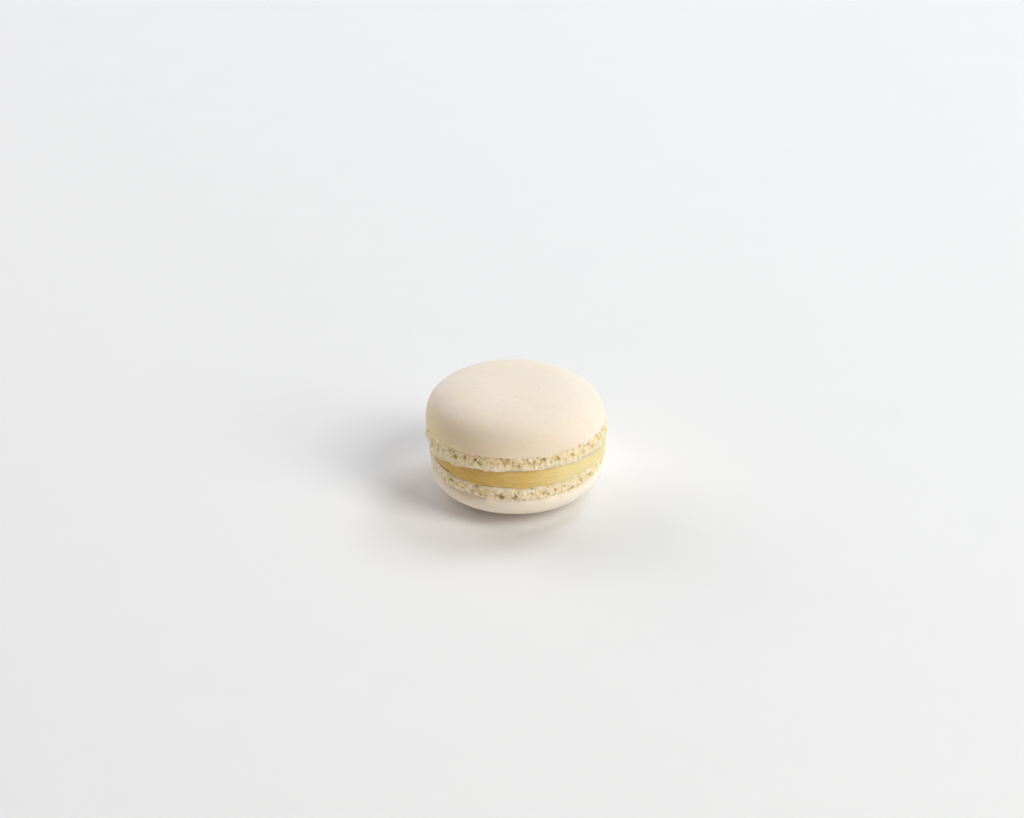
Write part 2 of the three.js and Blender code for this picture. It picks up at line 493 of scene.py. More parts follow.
@dataclass(frozen=True)
class LemonCream:
    """Lemon butter cream, piped and pressed flat between the shells.

    Fat and egg yolk give it a soft satin gloss. It is pale yellow where butter shows and deeper
    gold where curd runs through it, in slow clouds and in faint level smears left by pressing, and
    deeper gold towards its shaded left as painted shade.
    """

    name: str
    butter: str = "F0DE9E"
    curd: str = "D8B052"
    roughness: float = 0.36
    ior: float = 1.46
    specular: float = 0.5
    translucency: float = 0.2
    light_reach: float = 1.6
    reach_by_colour: tuple[float, float, float] = (1.0, 0.75, 0.3)
    smear_size: float = 3.5
    smear_flatness: float = 5.0
    smear_range: tuple[float, float] = (0.3, 0.7)
    smear_share: float = 0.35
    smear_height: float = 0.05

    def material(self) -> bpy.types.Material:
        """Build the node material.

        Returns:
            The material.
        """
        made, where = start_material(self.name)
        tree = made.node_tree
        level = add_node(tree, "ShaderNodeMapping", inputs={
            "Vector": where, "Scale": (1.0, 1.0, self.smear_flatness)})
        smears = add_node(tree, "ShaderNodeTexNoise", inputs={
            "Vector": level.outputs["Vector"], "Scale": per_metre(self.smear_size),
            "Detail": 3.0})
        streak = add_node(tree, "ShaderNodeMapRange", inputs={
            "Value": smears.outputs["Fac"], "From Min": self.smear_range[0],
            "From Max": self.smear_range[1], "To Min": -self.smear_share / 2,
            "To Max": self.smear_share / 2})
        richness_and_shade = add_node(tree, "ShaderNodeAttribute", {"attribute_name": Mask.RICHNESS_AND_SHADE.value})
        share = add_node(tree, "ShaderNodeMath", {"operation": "ADD", "use_clamp": True}, {
            0: richness_and_shade.outputs["Fac"], 1: streak.outputs["Result"]})
        colour = add_node(tree, "ShaderNodeMix", COLOUR_MIX, {
            "Factor": share.outputs["Value"], FIRST: linear(self.butter),
            SECOND: linear(self.curd)})
        bump = add_node(tree, "ShaderNodeBump", inputs={
            "Strength": 1.0, "Distance": self.smear_height * MM, "Height": smears.outputs["Fac"]})
        shader = add_node(tree, "ShaderNodeBsdfPrincipled", inputs={
            "Base Color": colour.outputs[MIXED], "Roughness": self.roughness, "IOR": self.ior,
            "Specular IOR Level": self.specular, "Subsurface Weight": self.translucency,
            "Subsurface Radius": self.reach_by_colour, "Subsurface Scale": self.light_reach * MM,
            "Normal": bump.outputs["Normal"]})
        add_node(tree, "ShaderNodeOutputMaterial", inputs={"Surface": shader.outputs["BSDF"]})
        return made


@dataclass(frozen=True)
class StudioPaper:
    """A seamless sheet of pale matt background paper, with the faint cloud of its pulp."""

    name: str = "studio_paper"
    tone: str = "F4F4F4"
    cloud_tone: str = "F2F2F2"
    cloud_size: float = 14.0
    # Real paper fibres are a few hundredths of a millimetre wide. They are too fine to show, so
    # they are drawn as coarse as the paper's tooth needs.
    fibre_size: float = 0.8
    fibre_height: float = 0.01
    roughness: float = 0.9
    specular: float = 0.1

    def material(self) -> bpy.types.Material:
        """Build the node material.

        Returns:
            The material.
        """
        made, where = start_material(self.name)
        tree = made.node_tree
        clouds = add_node(tree, "ShaderNodeTexNoise", inputs={
            "Vector": where, "Scale": per_metre(self.cloud_size), "Detail": 3.0})
        colour = add_node(tree, "ShaderNodeMix", COLOUR_MIX, {
            "Factor": clouds.outputs["Fac"], FIRST: linear(self.tone),
            SECOND: linear(self.cloud_tone)})
        fibres = add_node(tree, "ShaderNodeTexNoise", inputs={
            "Vector": where, "Scale": per_metre(self.fibre_size), "Detail": 2.0})
        bump = add_node(tree, "ShaderNodeBump", inputs={
            "Strength": 1.0, "Distance": self.fibre_height * MM, "Height": fibres.outputs["Fac"]})
        shader = add_node(tree, "ShaderNodeBsdfPrincipled", inputs={
            "Base Color": colour.outputs[MIXED], "Roughness": self.roughness,
            "Specular IOR Level": self.specular, "Normal": bump.outputs["Normal"]})
        add_node(tree, "ShaderNodeOutputMaterial", inputs={"Surface": shader.outputs["BSDF"]})
        return made


# ---------------------------------------------------------------- foam of the foot


@dataclass(frozen=True)
class Lumps:
    """One size of puffed lump. Lumps press against each other, with a crease where they meet.

    The stretch is how much taller than wide they are, and the scatter how far each lies off its
    row, in lump widths.
    """

    width: float
    stretch: float
    rise: float
    plumpness: float = 2.0
    scatter: float = 0.38

    def middles(self, radius: float, height: float, draw: np.random.Generator) -> np.ndarray:
        """Scatter the lumps over a band in rough rows, each row half a lump on from the last.

        Args:
            radius: the band's radius.
            height: the band's height.
            draw: moves each lump off its row.

        Returns:
            The middle of each lump, with heights divided by the stretch.
        """
        across = round(2 * math.pi * radius / self.width)
        tiers = math.ceil(height / (self.width * self.stretch)) + 1
        number, tier = np.meshgrid(np.arange(across), np.arange(tiers))
        moved = draw.uniform(-self.scatter, self.scatter, (2, tiers, across)) * self.width
        arc = (number + 0.5 * (tier % 2)) * (2 * math.pi * radius / across) + moved[0]
        level = (tier - 0.5) * self.width + moved[1]
        return around_axis(arc / radius, level, radius)


def around_axis(angle: np.ndarray, level: np.ndarray, radius: float) -> np.ndarray:
    """Points at a radius round the axis, one a row."""
    return np.stack([radius * np.cos(angle), radius * np.sin(angle), level], -1).reshape(-1, 3)


def nearest_two(places: np.ndarray, middles: np.ndarray) -> tuple[np.ndarray, np.ndarray]:
    """Find the two middles that are nearest to each place.

    Args:
        places: the points that ask, one a row.
        middles: the points to choose from, one a row.

    Returns:
        The two distances of each place, nearest first, and the number of its nearest middle.
    """
    tree = KDTree(len(middles))
    for number, middle in enumerate(middles):
        tree.insert(middle, number)
    tree.balance()
    found = [tree.find_n(place, 2) for place in places]
    distances = np.array([[hit[2] for hit in hits] for hits in found])
    return distances, np.array([hits[0][1] for hits in found])


@dataclass(frozen=True)
class Pinholes:
    """Small burst bubbles, by how many there are and how wide and deep they are.

    The margin is the share of the foot's height under the lowest of them.
    """

    count: int
    radius: tuple[float, float]
    depth: tuple[float, float]
    margin: float = 0.05


@dataclass(frozen=True)
class Pore:
    """An open bubble at a known place on the foot."""

    angle: float
    height: float
    radius: float
    depth: float


@dataclass(frozen=True)
class Foam:
    """The foot's crumb: soft lumps of two sizes, roughened, and torn open under the crease.

    Roughness is a list of cell and height, from coarse to fine. The inset is how far its mean
    surface lies inside the foot's, so that the tops of the lumps reach out to it. The puff level
    is the part of a lump's rise that lies inside the mean surface. The foam tears most between
    the two bands of height, as shares of the foot's, in which it opens and closes again; the
    closed shares are how readily and how deeply it tears outside them. The sag is how much of
    the lumps' swell at the lip also hangs past the flat face.
    """

    seed: int
    inset: float = 0.15
    lumps: Lumps = Lumps(width=2.0, stretch=1.1, rise=0.3)
    crumbs: Lumps = Lumps(width=0.85, stretch=1.0, rise=0.13)
    lump_sizes: tuple[float, float] = (0.25, 1.0)
    puff_level: float = 0.35
    rough: tuple[tuple[float, float], ...] = ((1.2, 0.14), (0.6, 0.1), (0.32, 0.05))
    tear_cell: float = 0.85
    fine_tear_share: float = 0.5
    tear_depth: float = 0.52
    tear_start: float = 0.26
    tear_full: float = 0.62
    opens: tuple[float, float] = (0.1, 0.55)
    closes: tuple[float, float] = (0.93, 1.06)
    closed_tear: float = 0.35
    closed_depth: float = 0.4
    pore_stretch: tuple[float, float] = (1.15, 0.85)
    pinholes: Pinholes = Pinholes(count=380, radius=(0.12, 0.24), depth=(0.1, 0.28))
    wander: float = 0.34
    wander_cell: float = 0.9
    sag: float = 0.15

    def relief(self, points: np.ndarray, arc: np.ndarray, height: np.ndarray, foot_radius: float,
               foot_height: float, pores: list[Pore]) -> tuple[np.ndarray, np.ndarray]:
        """Work the relief out on a grid that goes round the foot.

        Args:
            points: each grid point's place in space, rows x columns x 3, in millimetres.
            arc: how far round the foot each column is, in millimetres.
            height: how high each row is, in millimetres.
            foot_radius: the radius at which the arc is measured.
            foot_height: the height of the foot.
            pores: the large open bubbles.

        Returns:
            How far each grid point stands out, and how far it is sunk in a tear or a bubble.
        """
        shape = points.shape[:2]
        flat = points.reshape(-1, 3)
        around = 2 * math.pi * foot_radius

        def noise(cell: float, pattern: int) -> np.ndarray:
            """Soft noise at every grid point."""
            return SoftNoise(cell, self.seed + pattern)(flat).reshape(shape)

        u = arc[None, :] + self.wander * noise(self.wander_cell, Pattern.WANDER_ROUND)
        v = height[:, None] + self.wander * noise(self.wander_cell, Pattern.WANDER_UP)
        draw = np.random.default_rng(self.seed)
        swell = np.full(shape, -self.inset)
        for number, (cell, rise) in enumerate(self.rough):
            swell += rise * noise(cell, Pattern.ROUGHNESS + number)
        for lumps in (self.lumps, self.crumbs):
            middles = lumps.middles(foot_radius, foot_height, draw)
            places = around_axis(u / foot_radius, v / lumps.stretch, foot_radius)
            distances, nearest = nearest_two(places, middles)
            meeting = 2 * distances[:, 0] / (distances[:, 0] + distances[:, 1])
            size = draw.uniform(*self.lump_sizes, len(middles))[nearest]
            puff = size * (1 - meeting**lumps.plumpness) - self.puff_level
            swell += lumps.rise * puff.reshape(shape)

        up = v / foot_height
        open_part = smoothstep(up, *self.opens) * (1 - smoothstep(up, *self.closes))
        ragged = noise(self.tear_cell, Pattern.TEARS)
        ragged += self.fine_tear_share * noise(self.tear_cell / 2, Pattern.FINE_TEARS)
        readiness = lerp(self.closed_tear, 1, open_part)
        torn = smoothstep(ragged * readiness, self.tear_start, self.tear_full)
        sunk = self.tear_depth * torn * lerp(self.closed_depth, 1, open_part)

        step = around / shape[1]
        spare_columns = 2

        def sink(centre: float, level: float, radii: tuple[float, float], depth: float) -> None:
            """Sink one oval hole with steep sides.

            Args:
                centre: how far round the foot its middle is, in millimetres.
                level: how high its middle is.
                radii: its half width and half height.
                depth: its depth in the middle.
            """
            middle = round(centre / step)
            spread = math.ceil((radii[0] + self.wander) / step) + spare_columns
            columns = np.arange(middle - spread, middle + spread + 1) % shape[1]
            du = np.mod(u[:, columns] - centre + around / 2, around) - around / 2
            away = (du / radii[0]) ** 2 + ((v[:, columns] - level) / radii[1]) ** 2
            hollow = depth * np.sqrt(np.clip(1 - away, 0, 1))
            sunk[:, columns] = np.maximum(sunk[:, columns], hollow)

        wide, tall = self.pore_stretch
        for pore in pores:
            centre = np.mod(pore.angle, 2 * math.pi) * foot_radius
            sink(centre, pore.height, (pore.radius * wide, pore.radius * tall), pore.depth)
        holes = self.pinholes
        for _ in range(holes.count):
            radius = draw.uniform(*holes.radius)
            sink(draw.uniform(0, around), draw.uniform(holes.margin, 1.0) * foot_height,
                 (radius, radius), draw.uniform(*holes.depth))
        return swell, sunk


# ---------------------------------------------------------------- shells


class Facing(Enum):
    """Which way a shell's dome faces."""

    UP = 1
    DOWN = -1


@dataclass
class Shell:
    """A meringue shell, described on its flat face with its dome up, then put in its place.

    A fullness of 2 is a round curve, and more is squarer. The side drop is how far the lip hangs
    past the face at the left and right. The front pores are given by their angle in degrees from
    the front towards the right, their share of the way up the foot and their size. Face radii are
    those of the flat face's inner rings, and lip steps the shares of the way from the seat to the
    lip. A fade is the band over which a relief comes in. Pit depths are in pit widths, and the
    lowest pit is the least upward share of the line to it. The hot side is an angle from +X; the
    baked tone and painted shade are deepest there, on the shaded left.
    """

    name: str
    node: str
    slot: str
    facing: Facing
    finish: AlmondMeringue
    foam: Foam
    seed: int
    front_pores: tuple[tuple[float, float, float], ...]
    dome_radius: float
    dome_rise: float
    side_fullness: float
    crown_fullness: float
    apex_flat: float
    undercut: float
    crease_radius: float
    foot_radius: float
    foot_height: float
    side_drop: float
    out_of_round: float
    sway: float
    slip: float
    lean: float
    ruffle_depth: float
    lip_setback: float = 0.5
    ruffle_width: float = 3.2
    ruffle_tiers: int = 3
    pore_radius: float = 0.62
    pore_depth: float = 1.0
    pore_sizes: tuple[float, float] = (0.6, 1.2)
    pore_height: float = 0.7
    pore_scatter: float = 0.2
    pore_spacing: float = 5.5
    rise_to_right: float = RISE_TO_RIGHT
    face_radii: tuple[float, ...] = (4.0, 9.0, 15.0, 19.0)
    seat_edge: float = 0.9
    lip_steps: tuple[float, ...] = (0.3, 0.55, 0.8)
    foot_columns: int = 960
    foot_rows: int = 34
    tuck_rows: int = 9
    dome_row_spacing: float = 0.3
    curve_samples: int = 2000
    fewest_columns: int = 30
    smallest_ring: float = 0.4
    swell_cell: float = 6.0
    swell_height: float = 0.05
    dimple_cell: float = 1.1
    dimple_height: float = 0.02
    face_fade: tuple[float, float] = (0.1, 1.0)
    middle_fade: tuple[float, float] = (2.0, 12.0)
    dome_fade: float = 1.0
    skin_pits: int = 46
    pit_widths: tuple[float, float] = (0.16, 0.38)
    pit_depths: tuple[float, float] = (0.25, 0.5)
    pit_steepness: float = 1.6
    lowest_pit: float = 0.12
    # How high the baked tone with painted shade reaches, and the shaded side where it is deepest.
    baked_shade_share: float = 0.85
    hot_shaded_side: float = math.radians(180)
    frill: float = 0.1
    frill_cell: float = 1.6
    frill_reach: float = 0.9
    edge_wander: float = 0.22
    edge_cell: float = 2.2
    edge_width: float = 0.28
    # Where the crumb's painted valley shade starts and where it is full.
    valley_shade_range: tuple[float, float] = (-0.12, 0.16)

    @property
    def widest_height(self) -> float:
        """The height of the dome's widest ring."""
        return self.foot_height + self.undercut

    @property
    def height(self) -> float:
        """The height of the apex."""
        return self.widest_height + self.dome_rise

    @property
    def seat_radius(self) -> float:
        """The radius out to which the face is flat."""
        return self.foot_radius - 2 * self.lip_setback

    def rings(self) -> tuple[list[Ring], int, int]:
        """Lay out half a section as rings.

        Returns:
            The rings, and the numbers of the foot's first ring and the tuck's last one.
        """
        full = self.foot_columns
        lip = self.foot_radius - self.lip_setback
        radii = (*self.face_radii, self.seat_radius - self.seat_edge, self.seat_radius)
        under = [Ring(0, 0, 1)]
        under += [Ring(radius, 0, full // 2 ** (len(radii) - number))
                  for number, radius in enumerate(radii, 1)]
        under += [Ring(lerp(self.seat_radius, lip, share), 0, full) for share in self.lip_steps]
        bulge = self.foot_radius - (lip + self.crease_radius) / 2
        foot = []
        for row in range(self.foot_rows + 1):
            up = row / self.foot_rows
            radius = lerp(lip, self.crease_radius, up) + bulge * 4 * up * (1 - up)
            foot.append(Ring(radius, self.foot_height * up, full))
        tuck = []
        for row in range(1, self.tuck_rows + 1):
            up = row / self.tuck_rows
            eased = 1 - (1 - up) ** 3
            radius = lerp(self.crease_radius, self.dome_radius, eased)
            tuck.append(Ring(radius, self.foot_height + self.undercut * up, full))
        rings = under + foot + tuck
        return rings + self.dome_rings(), len(under), len(rings) - 1

    def dome_rings(self) -> list[Ring]:
        """Space rings evenly along the dome's curve, with fewer columns higher up.

        Returns:
            The rings, from just above the widest one to the pole.
        """
        sweep = np.linspace(0, math.pi / 2, self.curve_samples)
        out = np.cos(sweep).clip(0) ** (2 / self.side_fullness)
        radius = lerp(self.apex_flat, self.dome_radius, out)
        height = self.widest_height + self.dome_rise * np.sin(sweep) ** (2 / self.crown_fullness)
        run = np.concatenate([[0], np.cumsum(np.hypot(np.diff(radius), np.diff(height)))])
        rows = round(run[-1] / self.dome_row_spacing)
        stops = np.linspace(0, run[-1], rows + 1)[1:]
        radii = np.interp(stops, run, radius)
        heights = np.interp(stops, run, height)
        if self.apex_flat > 0:
            inner = np.arange(self.apex_flat, 0, -2 * self.dome_row_spacing)[1:]
            radii = np.append(radii, inner)
            heights = np.append(heights, np.full(len(inner), self.height))
        columns = self.foot_columns // 2
        made = []
        for r, h in zip(radii, heights):
            if r < self.smallest_ring:
                break
            crowded = 2 * math.pi * r / columns < self.dome_row_spacing / 2
            if crowded and columns > self.fewest_columns:
                columns //= 2
            made.append(Ring(float(r), float(h), columns))
        return made + [Ring(0, self.height, 1)]

    def pores(self, draw: SeededDraws) -> list[Pore]:
        """Place the large pores round the foot: the front ones, then an uneven run behind.

        Args:
            draw: gives each of the pores behind its turn, height and size.

        Returns:
            The pores.
        """
        found = [(math.radians(degrees), share, size) for degrees, share, size in self.front_pores]
        step = self.pore_spacing / self.foot_radius
        angle = found[-1][0] + step
        end = found[0][0] + 2 * math.pi - step / 2
        while angle < end:
            turn = angle + (draw() - 0.5) * step
            share = self.pore_height + (draw() - 0.5) * self.pore_scatter
            found.append((turn, share, lerp(*self.pore_sizes, draw())))
            angle += step
        return [Pore(self.facing.value * (turn - math.pi / 2), self.foot_height * share,
                     self.pore_radius * size, self.pore_depth * size)
                for turn, share, size in found]

    def build(self) -> tuple[TurnedSkin, np.ndarray, dict[str, np.ndarray]]:
        """Shape the shell.

        Returns:
            The skin it is made of, its points on its flat face, and the masks of its finish.
        """
        draw = SeededDraws(self.seed)
        ruffles = round(2 * math.pi * self.foot_radius / self.ruffle_width)
        ruffle = bumpy_band(ruffles, self.ruffle_tiers, draw)
        roundness = slow_wave(draw)
        sway = slow_wave(draw)
        pores = self.pores(draw)
        rings, first, last = self.rings()
        skin = TurnedSkin(rings)
        radius, angle, height = skin.radius, skin.angle, skin.height
        points = skin.points()

        def noise(cell: float, pattern: Pattern) -> np.ndarray:
            """Soft noise at every point."""
            return SoftNoise(cell, self.seed + pattern)(points)

        # The foam, cut off along the skin's uneven edge.
        band = skin.rows(first, last)
        shape = (last - first + 1, self.foot_columns)
        arc = angle[band].reshape(shape)[0] * self.foot_radius
        levels = height[band].reshape(shape)[:, 0]
        stands, sinks = self.foam.relief(points[band].reshape(*shape, 3), arc, levels,
                                         self.foot_radius, self.foot_height, pores)
        swell = np.zeros(len(radius))
        sunk = np.zeros(len(radius))
        swell[band] = stands.ravel()
        sunk[band] = sinks.ravel()
        edge = self.foot_height + self.edge_wander * noise(self.edge_cell, Pattern.SKIN_EDGE)
        crumbed = 1 - smoothstep(height, edge - self.edge_width, edge + self.edge_width)
        swell *= crumbed
        sunk *= 1 - smoothstep(height, edge, edge + 2 * self.edge_width)

        # Where each relief applies, as shares from 0 to 1.
        on_rim = smoothstep(radius, self.seat_radius, self.foot_radius - self.lip_setback)
        below_dome = 1 - smoothstep(height, self.foot_height, self.widest_height)
        on_dome = smoothstep(height, self.foot_height, self.height)
        off_apex = smoothstep(radius, self.apex_flat, self.dome_radius)
        above_foot = smoothstep(height, self.foot_height, self.widest_height + self.dome_fade)
        off_face = smoothstep(height, *self.face_fade) * smoothstep(radius, *self.middle_fade)

        # Outward: out of round, ruffles and foam on the foot, swells and dimples on the skin.
        relief = self.ruffle_depth * ruffle(angle, height / self.foot_height)
        outward = self.out_of_round * roundness(angle) * (radius / self.dome_radius)
        swells = noise(self.swell_cell, Pattern.SWELLS) * self.swell_height
        dimples = noise(self.dimple_cell, Pattern.DIMPLES) * self.dimple_height
        outer = radius + outward + on_rim * below_dome * relief + on_rim * (swell - sunk)
        outer += off_face * (swells + dimples)

        # Upward: the sway of the dome, the tilt of the face, the frill and sag of the lip.
        uneven = self.sway * sway(angle) * on_dome * off_apex
        lip = np.exp(-(height / self.frill_reach) ** 2) * on_rim
        frill = self.frill * noise(self.frill_cell, Pattern.FRILL) * lip
        toward_face = on_rim * (1 - height / self.foot_height).clip(0, 1)
        drop = self.foam.sag * np.maximum(swell, 0) + self.side_drop * np.cos(angle) ** 2
        face_rise = self.facing.value * outer * np.cos(angle) * math.tan(self.rise_to_right)
        lifted = height + uneven + face_rise * (1 - height / self.height) + frill
        lifted += above_foot * (swells + dimples) * on_dome - drop * toward_face
        shift = self.slip * (1 - below_dome) + self.lean * on_dome
        placed = np.stack([outer * np.cos(angle) + shift, outer * np.sin(angle), lifted], 1)
        placed -= self.pit_the_skin(placed, above_foot)

        # Baked tone and painted shade: darker and warmer low on the dome, most on the shaded left.
        # The heat is squared, so that the baked colour and painted shade stay near the hot side.
        baked_shade_height = lerp(self.foot_height, self.height, self.baked_shade_share)
        heat_and_shade = (0.5 + 0.5 * np.cos(angle - self.facing.value * self.hot_shaded_side)) ** 2
        # Painted shade, deepest in the valleys between the crumb's lumps.
        valley_shade = smoothstep(-swell - self.foam.inset, *self.valley_shade_range)
        masks = {
            Mask.FOOT.value: on_rim * crumbed,
            # Painted shade in the pores, by how deeply each point is sunk.
            Mask.PORE_SHADE.value: on_rim * np.clip(sunk / self.pore_depth, 0, 1),
            Mask.BAKED_SHADE.value: heat_and_shade * (1 - smoothstep(height, self.foot_height, baked_shade_height)),
            Mask.VALLEY_SHADE.value: on_rim * valley_shade,
        }
        return skin, placed, masks

    def pit_the_skin(self, points: np.ndarray, above_foot: np.ndarray) -> np.ndarray:
        """Work out how far tiny burst bubbles sink the dome's skin.

        Args:
            points: the shell's points, one a row.
            above_foot: each point's share from 0 on the foot to 1 on the dome.

        Returns:
            How far to move each point inward, as x, y and z.
        """
        draw = np.random.default_rng(self.seed + Pattern.SKIN_PITS)
        outward = points - [0, 0, self.foot_height / 2]
        outward /= np.linalg.norm(outward, axis=1, keepdims=True)
        sunk = np.zeros(len(points))
        for _ in range(self.skin_pits):
            turn = draw.uniform(0, 2 * math.pi)
            lift = draw.uniform(self.lowest_pit, 1)
            level = math.sqrt(1 - lift * lift)
            ray = np.array([level * math.cos(turn), level * math.sin(turn), lift])
            width = draw.uniform(*self.pit_widths)
            deep = width * draw.uniform(*self.pit_depths)
            centre = points[np.argmax((outward @ ray) * above_foot)]
            away = np.linalg.norm(points - centre, axis=1) / width
            sunk = np.maximum(sunk, deep * np.exp(-away**2 * self.pit_steepness))
        return outward * (sunk * above_foot)[:, None]

    def place(self, axis: Vector, seat: Vector, tip_back: float) -> Matrix:
        """The matrix that puts the shell in the frame, in millimetres."""
        turn = Matrix.Rotation(math.pi if self.facing is Facing.DOWN else -tip_back, 4, "X")
        return Matrix.Translation(axis + seat) @ turn

    def dress(self, place: Matrix) -> bpy.types.Object:
        """Make the shell, finish it and let it stand for its solid.

        Args:
            place: the matrix that puts it in the frame.

        Returns:
            The piece.
        """
        skin, points, masks = self.build()
        piece = make_piece(self.name, points, skin.faces(), place, masks)
        piece.data.materials.append(self.finish.material())
        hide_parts(self.node)
        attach(piece, "root")
        return piece


# ---------------------------------------------------------------- filling


@dataclass
class Filling:
    """The lemon cream: a wedge, thickest at the front, with soft edges pressed by the shells.

    The rolls are how far its upper and lower edges draw in, and the press how far the shells'
    hanging lips push its side out at the left and right.
    """

    name: str = "lemon_cream"
    node: str = "filling"
    slot: str = "lemon_cream"
    finish: LemonCream = field(default_factory=lambda: LemonCream("lemon_butter_cream"))
    seed: int = 5
    radius: float = 21.8
    bulge: float = 0.5
    spread: float = 0.2
    wave: float = 0.15
    height: float = 3.6
    tip_back: float = TIP_BACK
    rise_to_right: float = RISE_TO_RIGHT
    contact: float = 0.02
    sink: float = 0.14
    side_start: float = 0.9
    top_roll: float = 0.45
    bottom_roll: float = 0.03
    bottom_curve: float = 0.7
    roll_sharpness: int = 10
    side_press: float = 0.5
    slow_ripple: float = 0.1
    slow_cell: float = 4.5
    slow_seed: int = 6
    fine_ripple: float = 0.04
    fine_cell: float = 1.3
    fine_seed: int = 7
    cloud_cell: float = 13.0
    cloud_seed: int = 216
    # Painted shade: how much deeper the cream's colour runs towards its shaded left.
    left_painted_shade: float = 0.2
    core_radii: tuple[float, ...] = (5.0, 11.0, 17.0, 20.5)
    columns: int = 720
    side_rows: int = 30

    def rings(self) -> list[Ring]:
        """Lay out half a section as rings, with heights as shares from 0 to 1.

        Returns:
            The rings.
        """
        radii = self.core_radii
        steps = [(0.0, 1)]
        steps += [(r, self.columns // 2 ** (len(radii) - k)) for k, r in enumerate(radii)]
        side = [Ring(self.radius, row / self.side_rows, self.columns)
                for row in range(self.side_rows + 1)]
        return [Ring(r, 0, n) for r, n in steps] + side + [Ring(r, 1, n) for r, n in steps[::-1]]

    def dress(self, axis: Vector, seat: float) -> bpy.types.Object:
        """Make the cream, finish it and let it stand for its solid.

        Args:
            axis: where the shells' common axis stands, in millimetres.
            seat: the height of the lower shell's flat face, in millimetres.

        Returns:
            The piece.
        """
        wave = slow_wave(SeededDraws(self.seed))
        skin = TurnedSkin(self.rings())
        radius, angle, up = skin.radius, skin.angle, skin.height
        share = radius / self.radius
        at_side = smoothstep(share, self.side_start, 1.0)
        from_middle = (2 * up - 1) * np.where(up > 0.5, 1, self.bottom_curve)
        roll = np.where(up > 0.5, self.top_roll, self.bottom_roll)
        roll *= from_middle**self.roll_sharpness
        outward = (self.wave * wave(angle) - self.spread * np.cos(2 * angle)) * share
        outward += at_side * (self.bulge * (1 - from_middle**2) - roll)
        outward += at_side * self.side_press * np.cos(angle) ** 2
        level = skin.points() * [1, 1, self.height]
        outward += at_side * self.slow_ripple * SoftNoise(self.slow_cell, self.slow_seed)(level)
        outward += at_side * self.fine_ripple * SoftNoise(self.fine_cell, self.fine_seed)(level)
        outer = radius + outward
        lower = outer * np.cos(angle) * math.tan(self.rise_to_right)
        upper = lower + self.height - outer * np.sin(angle) * math.tan(self.tip_back)
        height = lerp(lower + self.contact - self.sink * at_side, upper - self.contact, up)
        points = np.stack([outer * np.cos(angle), outer * np.sin(angle), height], 1)
        place = Matrix.Translation(axis + Vector((0, 0, seat)))
        clouds = SoftNoise(self.cloud_cell, self.cloud_seed)(points)
        # Curd clouds, with painted shade that deepens the colour towards the left.
        piece = make_piece(self.name, points, skin.faces(), place, {
            Mask.RICHNESS_AND_SHADE.value: 0.5 + 0.5 * clouds - self.left_painted_shade * np.cos(angle)})
        piece.data.materials.append(self.finish.material())
        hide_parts(self.node)
        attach(piece, "root")
        return piece


# ---------------------------------------------------------------- the macaron


@dataclass
class Macaron:
    """Both shells and the cream on their common axis."""

    axis_right: float = 0.444
    axis_back: float = -0.069
    upper_shift: float = -0.4
    tip_back: float = TIP_BACK
    lower: Shell = field(default_factory=lambda: Shell(
        name="lower_shell", node="bottom_shell", slot="lower_meringue", facing=Facing.DOWN,
        # Painted light: the lower shell's meringue gets paler colours than the same meringue on the
        # upper shell.
        finish=AlmondMeringue("almond_meringue_lower_painted_paler", skin="F9F1E4", skin_warm="F8EDDD",
                              skin_baked_shade="F4E8D2"),
        foam=Foam(seed=290), seed=29,
        front_pores=(
            (-56, 0.72, 0.8), (-50, 0.42, 0.7), (-29, 0.16, 0.7), (-26, 0.72, 0.85),
            (-12, 0.72, 1.15), (-4, 0.78, 0.8), (3, 0.78, 0.65), (8, 0.1, 0.6), (16, 0.56, 0.75),
            (24, 0.46, 0.7), (37, 0.74, 0.85), (57, 0.76, 0.85)),
        dome_radius=22.5, dome_rise=7.2, side_fullness=1.9, crown_fullness=1.75, apex_flat=7.5,
        undercut=1.7, crease_radius=22.0, foot_radius=22.8, foot_height=4.0, side_drop=0.4,
        out_of_round=0.2, sway=0.25, slip=0, lean=-0.9, ruffle_depth=0.45))
    upper: Shell = field(default_factory=lambda: Shell(
        name="upper_shell", node="top_shell", slot="upper_meringue", facing=Facing.UP,
        finish=AlmondMeringue("almond_meringue_upper"), foam=Foam(seed=110), seed=11,
        front_pores=(
            (-71, 0.3, 0.6), (-53, 0.62, 0.7), (-43, 0.58, 1.1), (-35, 0.72, 0.65),
            (-28, 0.7, 0.9), (-9, 0.6, 0.75), (1, 0.5, 0.75), (8, 0.6, 0.65), (17, 0.74, 0.85),
            (26, 0.68, 0.95), (37, 0.66, 0.8), (54, 0.8, 0.85), (68, 0.84, 0.7)),
        dome_radius=22.9, dome_rise=10.1, side_fullness=3.2, crown_fullness=2.25, apex_flat=0,
        undercut=0.7, crease_radius=22.7, foot_radius=23.5, foot_height=3.6, side_drop=1.6,
        out_of_round=0.2, sway=0.35, slip=-0.5, lean=-1.1, ruffle_depth=0.45))
    filling: Filling = field(default_factory=Filling)

    def dress(self) -> list[bpy.types.Object]:
        """Make the three pieces in the order they are stacked.

        Returns:
            The pieces.
        """
        axis = Vector((self.axis_right, self.axis_back, 0))
        seat = self.lower.height
        under = Vector((0, 0, seat))
        over = Vector((self.upper_shift, 0, seat + self.filling.height))
        return [
            self.lower.dress(self.lower.place(axis, under, 0)),
            self.filling.dress(axis, seat),
            self.upper.dress(self.upper.place(axis, over, self.tip_back)),
        ]


# ---------------------------------------------------------------- studio


